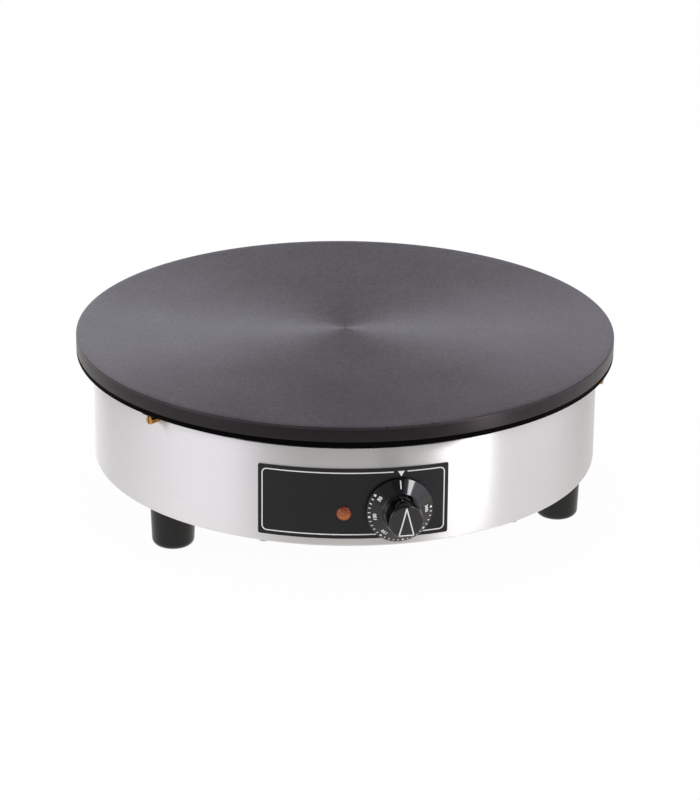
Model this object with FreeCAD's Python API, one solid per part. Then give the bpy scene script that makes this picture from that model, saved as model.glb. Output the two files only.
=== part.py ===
# Electric crepe maker: a cast griddle plate on a round steel casing with three feet, heated from below
# by a sheathed element and set by a dial thermostat. Millimetres, +Z up. The origin is on the floor
# under the middle of the plate, and the dial faces -Y.
import FreeCAD
import Part
import math
import os

V = FreeCAD.Vector
UP = V(0, 0, 1)
ORIGIN = V(0, 0, 0)

# Griddle plate
plate_radius = 200.0
plate_rim_depth = 11.5
plate_rim_land = 11.0
plate_web = 9.5
plate_edge_bevel = 0.9
skirt_depth = 10.0
skirt_wall = 4.0
skirt_setback = 15.0
lug_width = 16.0
lug_draft = 1.5
lug_below_screw = 7.0
lug_clearance = 1.5
lug_turn = 3.0
boss_radius = 8.0
boss_draft = 1.0
boss_height = 5.0

# Casing and base pan
plate_overhang = 12.5
casing_height = 75.0
casing_wall = 1.2
casing_bend = 2.5
casing_flange = 11.5
plate_gap = 9.0
pan_wall = 1.2
pan_clearance = 0.5
vent_count = 9
vent_length = 34.0
vent_width = 5.0
vent_circle = 62.0
rivet_count = 6
rivet_radius = 2.0
rivet_head_radius = 4.0
rivet_head = 1.2

# Feet
foot_count = 3
foot_inset = 21.0
foot_height = 31.5
foot_top_radius = 16.5
foot_bottom_radius = 15.3
foot_edge_rise = 5.0
foot_edge_inset = 4.0
foot_edge_step = 1.3
foot_recess_radius = 6.0
foot_recess_depth = 12.0
foot_screw_radius = 3.0
foot_screw_head_radius = 5.0
foot_screw_head = 4.0
foot_nut_flats = 10.0
foot_nut_height = 5.0

# Radial screws that hold the plate
plate_screw_radius = 2.5
plate_screw_rise = 0.3
plate_screw_head_radius = 3.2
plate_screw_head = 8.0
plate_screw_in_lug = 11.0
plate_screw_slot_width = 1.0
plate_screw_slot_depth = 1.6
plate_washer_radius = 5.0
plate_washer = 0.8

# Heating element, its clamps and their studs
ring_count = 4
ring_setback = 15.3
ring_pitch = 34.0
ring_half_gap = 30.0
element_top_width = 8.0
element_bottom_width = 4.0
element_height = 6.5
cold_end_radius = 3.0
cold_end_hole_radius = 6.0
cold_end_drop = 42.0
clamp_width = 16.0
clamp_thickness = 2.5
clamp_overhang = 8.0
stud_radius = 3.0
stud_in_plate = 3.5
stud_end = 2.0
stud_nut_flats = 10.0
stud_nut_height = 5.0

# Reflector tray, its insulation and the posts that carry them
tray_floor_height = 50.0
tray_setback = 22.3
tray_wall = 0.8
tray_rim_height = 17.0
blanket_thickness = 15.0
blanket_clearance = 1.0
post_circle = 110.0
post_flats = 8.0
post_spigot_radius = 2.0
post_spigot_head = 0.8
post_turn = 30.0

# Thermostat, its bracket, sensing bulb and capillary
dial_height = 59.5
thermostat_width = 44.0
thermostat_height = 33.0
thermostat_depth = 30.0
thermostat_corner = 3.0
bush_radius = 5.0
bush_length = 8.0
shaft_radius = 3.0
shaft_flat = 1.0
shaft_flat_length = 12.0
bracket_setback = 16.3
bracket_wall = 1.5
bracket_width = 50.0
bracket_height = 46.0
bracket_foot = 20.0
bracket_screw_radius = 2.0
bracket_screw_head_radius = 3.5
bracket_screw_head = 2.0
bracket_screw_length = 6.0
thermostat_screw_spacing = 28.0
blade_width = 6.0
blade_thickness = 0.8
blade_length = 8.0
bulb_radius = 3.0
bulb_length = 62.0
bulb_setback = 25.3
capillary_radius = 1.0
capillary_run = 10.0
capillary_hole_radius = 3.0
clip_width = 14.0
clip_wall = 0.8
clip_wing = 6.0

# Dial knob
dial_radius = 24.0
dial_rim = 1.5
skirt_slope = 28.6
grip_base_radius = 14.0
grip_front_radius = 12.3
grip_edge_bevel = 1.2
knob_depth = 24.0
grip_dome = 0.8
knob_wall = 2.2
knob_socket_radius = 6.0
knob_bore_depth = 15.5
knob_lift = 0.5
running_clearance = 0.05
shaft_hole_radius = 6.0

# Control panel and pilot lamp
panel_arc = 136.5
panel_height = 53.0
panel_centre_height = 64.7
panel_film = 0.6
panel_adhesive = 0.1
panel_left_of_dial = 32.2
panel_corner = 1.0
lamp_left_of_dial = 39.0
lamp_height = 57.8
lens_radius = 5.0
lens_flange = 1.2
lens_dome = 1.4
lens_edge_rise = 0.8
lamp_body_radius = 4.0
lamp_body_length = 22.0
lamp_clip_radius = 6.5
lamp_clip = 0.6
lamp_clip_mouth = 30.0
lamp_pin_radius = 0.8
lamp_pin_length = 6.0

# Cable gland and terminal block
gland_height = 58.0
gland_thread_radius = 9.8
gland_flats = 24.0
gland_collar = 5.0
gland_neck_radius = 8.0
gland_neck = 9.0
gland_inner_length = 9.0
gland_nut_length = 17.0
gland_nut_mouth = 3.0
gland_nut_taper = 5.0
gland_bore_radius = 6.0
seal_bore_radius = 4.5
seal_length = 12.0
locknut_thickness = 4.0
block_width = 46.0
block_depth = 20.0
block_height = 18.0
block_setback = 54.3
block_pole_pitch = 14.0
block_pole_rise = 10.8
block_pole_radius = 2.5
block_pole_depth = 5.0
earth_stud_radius = 2.5
earth_stud_height = 16.0
earth_nut_flats = 8.0
earth_nut_height = 4.0
earth_stud_angle = 60.0
earth_stud_circle = 140.0

# Internal leads
lead_radius = 1.6
lead_lift = 4.0
lead_straight = 14.0
lead_bend_end = 28.0
lead_rise = 8.0
tube_sides = 8

# Clearances, and how far a cut runs past what it cuts
hole_clearance = 0.3
seat_clearance = 0.2
past = 1.0
wall_past = 5.0

# Heights and places that follow from the sizes above
casing_radius = plate_radius - plate_overhang
casing_bottom = foot_height
casing_top = casing_bottom + casing_height
casing_inner = casing_radius - casing_wall
plate_bottom = casing_top + plate_gap
plate_top = plate_bottom + plate_rim_depth
plate_under = plate_top - plate_web
pan_top = casing_bottom + pan_wall
flange_top = casing_bottom + casing_wall
flange_inner = casing_radius - casing_flange
skirt_outer = casing_inner - skirt_setback
skirt_inner = skirt_outer - skirt_wall
lug_reach = casing_inner - lug_clearance
plate_screw_height = casing_top + plate_screw_rise
element_bottom = plate_under - element_height
clamp_bottom = element_bottom - clamp_thickness
outer_ring_radius = skirt_inner - ring_setback
inner_ring_radius = outer_ring_radius - (ring_count - 1) * ring_pitch
stud_circle = (outer_ring_radius + inner_ring_radius) / 2
tray_radius = casing_inner - tray_setback
tray_bottom = pan_top + tray_floor_height
tray_top = tray_bottom + tray_wall
blanket_top = tray_top + blanket_thickness
panel_back = casing_radius + panel_adhesive
panel_radius = panel_back + panel_film
knob_back = panel_radius + knob_lift
pan_rim_radius = casing_inner - pan_clearance
shaft_tip = knob_back + knob_bore_depth - hole_clearance
bracket_front = casing_inner - bracket_setback
bracket_back = bracket_front - bracket_wall
thermostat_rear = -bracket_back + thermostat_depth
bulb_start = skirt_inner - bulb_setback - bulb_length
bulb_height = plate_under - bulb_radius - seat_clearance
capillary_down = -bulb_start + capillary_run
foot_circle = casing_radius - foot_inset
block_position = casing_inner - block_setback
pole_height = pan_top + block_pole_rise
lead_height = pan_top + lead_radius + lead_lift
lamp_angle = -math.degrees(lamp_left_of_dial / casing_radius)
panel_angle = -math.degrees(panel_left_of_dial / casing_radius)
clamp_angles = [-60 + 120 * i for i in range(3)]
lug_angles = [-60 + 120 * i + lug_turn for i in range(3)]
foot_angles = [-60 + 120 * i for i in range(foot_count)]


def around(radius, angle, height):
    """Point at an angle from the front (-Y), counted towards +X."""
    turn = math.radians(angle)
    return V(radius * math.sin(turn), -radius * math.cos(turn), height)


def facing(shape, angle):
    """A shape drawn towards -Y, turned round the middle to an angle from the front."""
    turned_shape = shape.copy()
    turned_shape.rotate(ORIGIN, UP, angle)
    return turned_shape


def outline(points):
    """Face in the XZ plane through (radius, height, corner radius) points, with rounded corners."""
    edges = []
    starts = []
    for i, (r, z, corner) in enumerate(points):
        here = V(r, 0, z)
        before = V(points[i - 1][0], 0, points[i - 1][1]) - here
        after = V(points[(i + 1) % len(points)][0], 0, points[(i + 1) % len(points)][1]) - here
        if corner == 0:
            starts.append((here, here, None))
            continue
        half = before.getAngle(after) / 2
        back = corner / math.tan(half)
        before.normalize()
        after.normalize()
        middle = before + after
        middle.normalize()
        bulge = here + middle * (corner / math.sin(half) - corner)
        starts.append((here + before * back, here + after * back, bulge))
    for i, (arrive, leave, bulge) in enumerate(starts):
        if bulge:
            edges.append(Part.Arc(arrive, bulge, leave).toShape())
        following = starts[(i + 1) % len(starts)][0]
        if (following - leave).Length > 1e-6:
            edges.append(Part.LineSegment(leave, following).toShape())
    return Part.Face(Part.Wire(edges))


def turned(points, sweep=360):
    """Body of revolution about Z from (radius, height, corner radius) points."""
    return outline(points).revolve(ORIGIN, UP, sweep)


def outward(shape, angle, radius, height):
    """A shape drawn along +Z, laid down to point away from the middle at an angle and height."""
    laid = shape.copy()
    laid.rotate(ORIGIN, V(1, 0, 0), 90)
    laid.translate(V(0, -radius, height))
    return facing(laid, angle)


def rod(radius, start, end):
    """Round bar between two points."""
    along = end - start
    return Part.makeCylinder(radius, along.Length, start, along)


def hexagon(flats, height, bore):
    """Six-sided nut about Z standing on the XY plane, with a plain bore."""
    corner = flats / math.sqrt(3)
    points = [V(corner * math.cos(math.radians(60 * i)), corner * math.sin(math.radians(60 * i)), 0)
              for i in range(7)]
    prism = Part.Face(Part.makePolygon(points)).extrude(V(0, 0, height))
    if bore == 0:
        return prism
    return prism.cut(Part.makeCylinder(bore, height))


def box_between(low, high):
    """Box from its lowest corner to its highest."""
    return Part.makeBox(high.x - low.x, high.y - low.y, high.z - low.z, low)


def bent_tube(points, radius):
    """Many-sided tube of straight runs joined by arcs as large as the runs allow."""
    edges = []
    leave = points[0]
    tightest = math.inf
    for i in range(1, len(points) - 1):
        before = points[i - 1] - points[i]
        after = points[i + 1] - points[i]
        shorter = min(before.Length, after.Length)
        half = before.getAngle(after) / 2
        back = 0.45 * shorter
        tightest = min(tightest, back * math.tan(half))
        before.normalize()
        after.normalize()
        middle = before + after
        middle.normalize()
        bulge = points[i] + middle * (back / math.cos(half) - back * math.tan(half))
        arrive = points[i] + before * back
        edges.append(Part.LineSegment(leave, arrive).toShape())
        leave = points[i] + after * back
        edges.append(Part.Arc(arrive, bulge, leave).toShape())
    edges.append(Part.LineSegment(leave, points[-1]).toShape())
    path = Part.Wire(edges)
    along = points[1] - points[0]
    side = along.cross(V(1, 0, 0)).normalize() * radius
    spin = FreeCAD.Rotation(along, 360 / tube_sides)
    corners = [side]
    for i in range(tube_sides):
        corners.append(spin.multVec(corners[-1]))
    section = Part.makePolygon([points[0] + corner for corner in corners])
    tube = path.makePipeShell([section], True, False)
    print("bent tube: length %.0f, tightest radius %.1f" % (path.Length, tightest))
    return tube


def griddle_plate():
    """Cast plate with a turned top, a ring that closes the gap, three lugs and three stud bosses."""
    skirt_bottom = plate_under - skirt_depth
    rim_inner = plate_radius - plate_rim_land
    body = turned([
        (0, plate_under, 0),
        (skirt_inner, plate_under, 0),
        (skirt_inner, skirt_bottom, 0),
        (skirt_outer, skirt_bottom, 0),
        (skirt_outer, plate_under, 0),
        (rim_inner, plate_under, 0),
        (rim_inner, plate_bottom, 0),
        (plate_radius - plate_edge_bevel, plate_bottom, 0),
        (plate_radius, plate_bottom + plate_edge_bevel, 0),
        (plate_radius, plate_top - plate_edge_bevel, 0),
        (plate_radius - plate_edge_bevel, plate_top, 0),
        (0, plate_top, 0),
    ])
    for angle in lug_angles:
        body = body.fuse(facing(plate_lug(), angle))
    for angle in clamp_angles:
        boss = Part.makeCone(boss_radius, boss_radius - boss_draft, boss_height + plate_web / 2,
                             around(stud_circle, angle, plate_under + plate_web / 2), -UP)
        body = body.fuse(boss)
    for angle in lug_angles:
        tip = lug_reach - plate_screw_in_lug - hole_clearance
        body = body.cut(rod(plate_screw_radius + running_clearance,
                            around(tip, angle, plate_screw_height),
                            around(casing_radius, angle, plate_screw_height)))
    for angle in clamp_angles:
        body = body.cut(rod(stud_radius + running_clearance,
                            around(stud_circle, angle, plate_under - boss_height),
                            around(stud_circle, angle, plate_under + stud_in_plate)))
    return body.removeSplitter()


def plate_lug():
    """Drafted lug at the front that hangs from the plate just inside the casing."""
    bottom = plate_screw_height - lug_below_screw
    near = skirt_inner + skirt_wall / 2
    wires = []
    for half, z in ((lug_width / 2, plate_under + past), (lug_width / 2 - lug_draft, bottom)):
        wires.append(Part.makePolygon([V(-half, -near, z), V(half, -near, z), V(half, -lug_reach, z),
                                       V(-half, -lug_reach, z), V(-half, -near, z)]))
    block = Part.makeLoft(wires, True, True)
    return block.common(Part.makeCylinder(lug_reach, plate_top, ORIGIN, UP))


def plate_screws():
    """Three brass screws through the notches in the casing into the lugs."""
    tip = lug_reach - plate_screw_in_lug
    seat = casing_radius + plate_washer
    shank = seat - tip
    one = turned([
        (0, 0, 0),
        (plate_screw_radius, 0, 0),
        (plate_screw_radius, shank, 0),
        (plate_screw_head_radius, shank, 0),
        (plate_screw_head_radius, shank + plate_screw_head, 0),
        (0, shank + plate_screw_head, 0),
    ])
    half = plate_screw_slot_width / 2
    one = one.cut(box_between(
        V(-half, -plate_screw_head_radius, shank + plate_screw_head - plate_screw_slot_depth),
        V(half, plate_screw_head_radius, shank + plate_screw_head)))
    return [outward(one, angle, tip, plate_screw_height) for angle in lug_angles]


def plate_screw_washers():
    """Three washers between the screw heads and the casing."""
    bore = plate_screw_radius + running_clearance
    one = turned([(bore, 0, 0), (plate_washer_radius, 0, 0),
                  (plate_washer_radius, plate_washer, 0), (bore, plate_washer, 0)])
    return [outward(one, angle, casing_radius, plate_screw_height) for angle in lug_angles]


def casing_shell():
    """Rolled steel band with a bent-in bottom flange, three screw notches and its control holes."""
    inner_bend = casing_bend - (2 - math.sqrt(2)) * casing_wall
    body = turned([
        (casing_inner, casing_top, 0),
        (casing_inner, flange_top + inner_bend, 0),
        (casing_inner - inner_bend, flange_top, 0),
        (flange_inner, flange_top, 0),
        (flange_inner, casing_bottom, 0),
        (casing_radius - casing_bend, casing_bottom, 0),
        (casing_radius, casing_bottom + casing_bend, 0),
        (casing_radius, casing_top, 0),
    ])
    notch = plate_screw_radius + hole_clearance
    for angle in lug_angles:
        low = around(casing_inner - past, angle, plate_screw_height)
        high = around(casing_radius + past, angle, plate_screw_height)
        body = body.cut(rod(notch, low, high))
        slot = box_between(V(-notch, -casing_radius - past, plate_screw_height),
                           V(notch, -casing_inner + past, casing_top + past))
        body = body.cut(facing(slot, angle))
    body = body.cut(radial_hole(shaft_hole_radius, 0, dial_height))
    body = body.cut(radial_hole(lamp_body_radius + hole_clearance, lamp_angle, lamp_height))
    body = body.cut(radial_hole(gland_thread_radius + hole_clearance, 180, gland_height))
    for angle in rivet_angles():
        body = body.cut(rod(rivet_radius + running_clearance,
                            around(rivet_circle(), angle, casing_bottom),
                            around(rivet_circle(), angle, flange_top)))
    return body


def radial_hole(radius, angle, height):
    """Drill through the casing wall and the panel, square to the wall."""
    return rod(radius, around(casing_inner - wall_past, angle, height),
               around(panel_radius + wall_past, angle, height))


def rivet_angles():
    """Rivets lie between the feet and the middle of the front and back."""
    return [360 / rivet_count * (i + 0.5) for i in range(rivet_count)]


def rivet_circle():
    """Middle of the flange that the pan's rim covers."""
    return (flange_inner + pan_rim_radius) / 2


def base_pan():
    """Drawn steel floor whose stepped rim lies on the casing's flange, with a ring of vents."""
    step = flange_inner - pan_clearance
    body = turned([
        (0, casing_bottom, 0),
        (step - pan_wall, casing_bottom, 0),
        (step, flange_top, 0),
        (pan_rim_radius - casing_bend, flange_top, 0),
        (pan_rim_radius - casing_bend, flange_top + pan_wall, 0),
        (step - pan_wall, flange_top + pan_wall, 0),
        (step - 2 * pan_wall, pan_top, 0),
        (0, pan_top, 0),
    ])
    for i in range(vent_count):
        body = body.cut(facing(vent_slot(), 360 / vent_count * i))
    cuts = [(foot_circle, angle, foot_screw_radius + hole_clearance) for angle in foot_angles]
    cuts += [(rivet_circle(), angle, rivet_radius + running_clearance) for angle in rivet_angles()]
    cuts += [(post_circle, angle, post_spigot_radius + running_clearance) for angle in post_angles()]
    cuts += [(earth_stud_circle, 180 - earth_stud_angle, earth_stud_radius)]
    for circle, angle, radius in cuts:
        body = body.cut(rod(radius, around(circle, angle, casing_bottom - past),
                            around(circle, angle, flange_top + pan_wall + past)))
    return body


def vent_slot():
    """Round-ended slot along a radius towards the front."""
    near = vent_circle - vent_length / 2 + vent_width / 2
    far = vent_circle + vent_length / 2 - vent_width / 2
    low = casing_bottom - past
    high = pan_top + past
    slot = box_between(V(-vent_width / 2, -far, low), V(vent_width / 2, -near, high))
    for end in (near, far):
        slot = slot.fuse(rod(vent_width / 2, V(0, -end, low), V(0, -end, high)))
    return slot


def base_rivets():
    """Rivets that join the pan's rim to the casing's flange."""
    grip = casing_wall + pan_wall
    one = turned([
        (0, -rivet_head, 0),
        (rivet_head_radius, -rivet_head, 0),
        (rivet_head_radius, 0, 0),
        (rivet_radius, 0, 0),
        (rivet_radius, grip + rivet_radius, 0),
        (0, grip + rivet_radius, 0),
    ])
    return [placed(one, around(rivet_circle(), angle, casing_bottom)) for angle in rivet_angles()]


def placed(shape, point):
    """A shape moved to a point."""
    moved = shape.copy()
    moved.translate(point)
    return moved


def feet():
    """Three moulded feet with an eased tread and a screw recess from below."""
    bore = foot_screw_radius + hole_clearance
    one = turned([
        (foot_recess_radius, 0, 0),
        (foot_bottom_radius - foot_edge_inset, 0, 0),
        (foot_bottom_radius - foot_edge_step, foot_edge_step, 0),
        (foot_bottom_radius, foot_edge_rise, 0),
        (foot_top_radius, foot_height, 0),
        (bore, foot_height, 0),
        (bore, foot_recess_depth, 0),
        (foot_recess_radius, foot_recess_depth, 0),
    ])
    return [placed(one, around(foot_circle, angle, 0)) for angle in foot_angles]


def foot_screws():
    """Screws up through the feet and the pan."""
    head_bottom = foot_recess_depth - foot_screw_head
    top = pan_top + foot_nut_height + foot_screw_radius
    one = turned([
        (0, head_bottom, 0),
        (foot_screw_head_radius, head_bottom, 0),
        (foot_screw_head_radius, foot_recess_depth, 0),
        (foot_screw_radius, foot_recess_depth, 0),
        (foot_screw_radius, top, 0),
        (0, top, 0),
    ])
    return [placed(one, around(foot_circle, angle, 0)) for angle in foot_angles]


def foot_nuts():
    """Nuts that hold the feet to the pan."""
    one = hexagon(foot_nut_flats, foot_nut_height, foot_screw_radius + running_clearance)
    return [placed(one, around(foot_circle, angle, pan_top)) for angle in foot_angles]


def ring_radii():
    """Middle lines of the element's rings, the outer one first."""
    return [outer_ring_radius - i * ring_pitch for i in range(ring_count)]


def element_section(radius):
    """Pressed section of the sheath: a flat top against the plate and sloping sides."""
    top = element_top_width / 2
    bottom = element_bottom_width / 2
    points = [V(radius - top, 0, plate_under), V(radius + top, 0, plate_under),
              V(radius + bottom, 0, element_bottom), V(radius - bottom, 0, element_bottom),
              V(radius - top, 0, plate_under)]
    return Part.Face(Part.makePolygon(points))


def heating_element():
    """One sheathed element bent into rings joined by U-turns, with two cold ends that hang from them."""
    start = -90 + ring_half_gap
    sweep = 360 - 2 * ring_half_gap
    body = None
    for i, radius in enumerate(ring_radii()):
        ring = element_section(radius).revolve(ORIGIN, UP, sweep)
        ring.rotate(ORIGIN, UP, start)
        body = body.fuse(ring) if body else ring
        if i + 1 == ring_count:
            break
        left = i % 2 == 0
        end = start + sweep if left else start
        middle = radius - ring_pitch / 2
        turn = element_section(ring_pitch / 2).revolve(ORIGIN, UP, 180 if left else -180)
        turn.translate(V(middle, 0, 0))
        turn.rotate(ORIGIN, UP, end)
        body = body.fuse(turn)
    for start_point in cold_end_starts():
        body = body.fuse(rod(cold_end_radius, start_point + UP * (element_height - seat_clearance),
                             start_point - UP * cold_end_drop))
    return body


def cold_end_starts():
    """Where the first and the last ring stop."""
    start = -90 + ring_half_gap
    last_angle = start if ring_count % 2 == 0 else 270 - ring_half_gap
    ends = []
    for radius, angle in ((outer_ring_radius, start), (inner_ring_radius, last_angle)):
        turn = math.radians(angle)
        ends.append(V(radius * math.cos(turn), radius * math.sin(turn), element_bottom))
    return ends


def cold_end_foot(which):
    """Lower tip of the first or the second cold end."""
    return cold_end_starts()[which] - UP * cold_end_drop


def element_clamps():
    """Flat bars across the rings, each with one hole for its stud."""
    inner = inner_ring_radius - clamp_overhang
    outer = outer_ring_radius + clamp_overhang
    bar = box_between(V(-clamp_width / 2, -outer, clamp_bottom), V(clamp_width / 2, -inner, element_bottom))
    bar = bar.cut(rod(stud_radius + hole_clearance, V(0, -stud_circle, clamp_bottom),
                      V(0, -stud_circle, element_bottom)))
    return [facing(bar, angle) for angle in clamp_angles]


def clamp_studs():
    """Studs screwed into the plate's bosses."""
    bottom = clamp_bottom - stud_nut_height - stud_end
    return [rod(stud_radius, around(stud_circle, angle, bottom),
                around(stud_circle, angle, plate_under + stud_in_plate - hole_clearance))
            for angle in clamp_angles]


def clamp_nuts():
    """Nuts that press the clamps against the element."""
    one = hexagon(stud_nut_flats, stud_nut_height, stud_radius + running_clearance)
    low = clamp_bottom - stud_nut_height
    return [placed(one, around(stud_circle, angle, low)) for angle in clamp_angles]


def post_angles():
    """The posts stand between the element's clamps."""
    return [post_turn + 120 * i for i in range(3)]


def inner_holes():
    """Drills for the cold ends and the capillary through the tray and its blanket."""
    drills = []
    for point in cold_end_starts():
        drills.append(rod(cold_end_hole_radius, V(point.x, point.y, tray_bottom - past),
                          V(point.x, point.y, blanket_top + past)))
    drills.append(rod(capillary_hole_radius, V(0, capillary_down, tray_bottom - past),
                      V(0, capillary_down, blanket_top + past)))
    return drills


def reflector_tray():
    """Bright tray under the element that holds the insulation."""
    body = turned([
        (0, tray_bottom, 0),
        (tray_radius, tray_bottom, 0),
        (tray_radius, tray_bottom + tray_rim_height, 0),
        (tray_radius - tray_wall, tray_bottom + tray_rim_height, 0),
        (tray_radius - tray_wall, tray_top, 0),
        (0, tray_top, 0),
    ])
    for angle in post_angles():
        body = body.cut(rod(post_spigot_radius + running_clearance, around(post_circle, angle, tray_bottom),
                            around(post_circle, angle, tray_top)))
    for drill in inner_holes():
        body = body.cut(drill)
    return body


def insulation_blanket():
    """Mineral-fibre disc in the tray."""
    body = Part.makeCylinder(tray_radius - tray_wall - blanket_clearance, blanket_thickness,
                             V(0, 0, tray_top), UP)
    for angle in post_angles():
        body = body.cut(rod(post_spigot_radius + blanket_clearance, around(post_circle, angle, tray_top),
                            around(post_circle, angle, blanket_top)))
    for drill in inner_holes():
        body = body.cut(drill)
    return body


def tray_posts():
    """Hexagon posts between the pan and the tray, with a staked spigot through each."""
    one = hexagon(post_flats, tray_floor_height, 0)
    one = one.fuse(rod(post_spigot_radius, V(0, 0, -pan_wall - post_spigot_head),
                       V(0, 0, tray_floor_height + tray_wall + post_spigot_head)))
    return [placed(one, around(post_circle, angle, pan_top)) for angle in post_angles()]


def thermostat_bracket():
    """Folded steel angle that holds the thermostat upright on the pan."""
    half = bracket_width / 2
    upright = box_between(V(-half, -bracket_front, pan_top),
                          V(half, -bracket_back, pan_top + bracket_height))
    foot_plate = box_between(V(-half, -bracket_front, pan_top),
                             V(half, -bracket_front + bracket_foot, pan_top + bracket_wall))
    body = upright.fuse(foot_plate)
    body = body.cut(rod(bush_radius + hole_clearance, V(0, -bracket_front, dial_height),
                        V(0, -bracket_back, dial_height)))
    for side in (-1, 1):
        x = side * thermostat_screw_spacing / 2
        body = body.cut(rod(bracket_screw_radius + hole_clearance, V(x, -bracket_front, dial_height),
                            V(x, -bracket_back, dial_height)))
    return body.removeSplitter()


def thermostat_body():
    """Switch body behind the bracket with a threaded bush round the shaft and two rear blades."""
    half = thermostat_width / 2
    low = dial_height - thermostat_height / 2
    body = box_between(V(-half, -bracket_back, low), V(half, thermostat_rear, low + thermostat_height))
    upright = [edge for edge in body.Edges if abs(edge.Vertexes[0].Y - edge.Vertexes[1].Y) > past]
    body = body.makeFillet(thermostat_corner, upright)
    body = body.fuse(rod(bush_radius, V(0, -bracket_back + past, dial_height),
                         V(0, -bracket_back - bush_length, dial_height)))
    for side in (-1, 1):
        x = side * thermostat_screw_spacing / 2
        body = body.fuse(box_between(
            V(x - blade_width / 2, thermostat_rear - past, dial_height - blade_thickness / 2),
            V(x + blade_width / 2, thermostat_rear + blade_length, dial_height + blade_thickness / 2)))
        body = body.cut(rod(bracket_screw_radius + running_clearance, V(x, -bracket_back, dial_height),
                            V(x, -bracket_back + bracket_screw_length, dial_height)))
    return body.cut(rod(shaft_radius + running_clearance, V(0, -bracket_back - bush_length, dial_height),
                        V(0, -bracket_back + thermostat_depth / 2, dial_height)))


def thermostat_screws():
    """Two screws through the bracket into the switch body."""
    one = turned([
        (0, -bracket_screw_length + hole_clearance, 0),
        (bracket_screw_radius, -bracket_screw_length + hole_clearance, 0),
        (bracket_screw_radius, bracket_wall, 0),
        (bracket_screw_head_radius, bracket_wall, 0),
        (bracket_screw_head_radius, bracket_wall + bracket_screw_head, 0),
        (0, bracket_wall + bracket_screw_head, 0),
    ])
    return [placed(outward(one, 0, bracket_back, dial_height), V(side * thermostat_screw_spacing / 2, 0, 0))
            for side in (-1, 1)]


def thermostat_shaft():
    """Steel shaft with a flat that drives the knob."""
    inner_end = V(0, -bracket_back + thermostat_depth / 2 - hole_clearance, dial_height)
    tip = V(0, -shaft_tip, dial_height)
    shaft = rod(shaft_radius, inner_end, tip)
    flat = box_between(V(-shaft_radius, -shaft_tip, dial_height + shaft_radius - shaft_flat),
                       V(shaft_radius, -shaft_tip + shaft_flat_length, dial_height + shaft_radius))
    return shaft.cut(flat)


def knob():
    """Moulded dial: a thin rim, a conical skirt and a round grip, hollow behind with a D socket."""
    rise = (dial_radius - grip_base_radius) * math.tan(math.radians(skirt_slope))
    grip_start = dial_rim + rise
    skirt_inside = grip_front_radius - knob_wall
    body = turned([
        (0, knob_depth, 0),
        (grip_front_radius - grip_edge_bevel, knob_depth - grip_dome, 0),
        (grip_front_radius, knob_depth - grip_dome - grip_edge_bevel, 0),
        (grip_base_radius, grip_start, 0),
        (dial_radius, dial_rim, 0),
        (dial_radius, 0, 0),
        (dial_radius - knob_wall, 0, 0),
        (skirt_inside, grip_start - knob_wall / 2, 0),
        (skirt_inside, knob_depth - 2 * knob_wall, 0),
        (0, knob_depth - 2 * knob_wall, 0),
    ])
    body = body.fuse(Part.makeCylinder(knob_socket_radius, knob_depth - knob_wall))
    bore = Part.makeCylinder(shaft_radius + running_clearance, knob_bore_depth)
    key_start = knob_bore_depth - shaft_flat_length
    key = box_between(V(-shaft_radius - past, shaft_radius - shaft_flat + running_clearance, key_start),
                      V(shaft_radius + past, shaft_radius + past, knob_bore_depth))
    body = body.cut(bore.cut(key))
    return outward(body, 0, knob_back, dial_height)


def control_panel():
    """Curved black panel on the casing behind the dial and the lamp."""
    half = math.degrees(panel_arc / casing_radius) / 2
    low = panel_centre_height - panel_height / 2
    body = turned([
        (panel_back, low, 0),
        (panel_radius, low, 0),
        (panel_radius, low + panel_height, 0),
        (panel_back, low + panel_height, 0),
    ], 2 * half)
    body.rotate(ORIGIN, UP, -90 - half + panel_angle)
    ends = [edge for edge in body.Edges
            if abs(edge.Vertexes[0].Z - edge.Vertexes[-1].Z) < 1e-6 and edge.Length < 2 * panel_film]
    body = body.makeFillet(panel_corner, ends)
    body = body.cut(radial_hole(shaft_hole_radius, 0, dial_height))
    return body.cut(radial_hole(lamp_body_radius + hole_clearance, lamp_angle, lamp_height))


def pilot_lamp():
    """Amber lens with its flange on the panel and its barrel through the casing."""
    barrel = lamp_body_radius
    one = turned([
        (0, -lamp_body_length, 0),
        (barrel, -lamp_body_length, 0),
        (barrel, 0, 0),
        (lens_radius, 0, 0),
        (lens_radius, lens_flange, 0),
        (barrel, lens_flange + lens_edge_rise, 0),
        (0, lens_flange + lens_dome, 0),
    ])
    return outward(one, lamp_angle, panel_radius, lamp_height)


def lamp_clip_ring():
    """Push-on steel clip behind the casing, with a gap so that it springs."""
    bore = lamp_body_radius + running_clearance
    one = turned([(bore, 0, 0), (lamp_clip_radius, 0, 0), (lamp_clip_radius, lamp_clip, 0),
                  (bore, lamp_clip, 0)], 360 - lamp_clip_mouth)
    seat = math.sqrt(casing_inner ** 2 - lamp_clip_radius ** 2) - seat_clearance - lamp_clip
    return outward(one, lamp_angle, seat, lamp_height)


def lamp_pins():
    """Two contact pins at the back of the lamp."""
    end = panel_radius - lamp_body_length
    pins = []
    for side in (-1, 1):
        one = Part.makeCylinder(lamp_pin_radius, lamp_pin_length, V(side * lamp_body_radius / 2, 0, 0), UP)
        pins.append(outward(one, lamp_angle, end - lamp_pin_length, lamp_height))
    return pins


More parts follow.
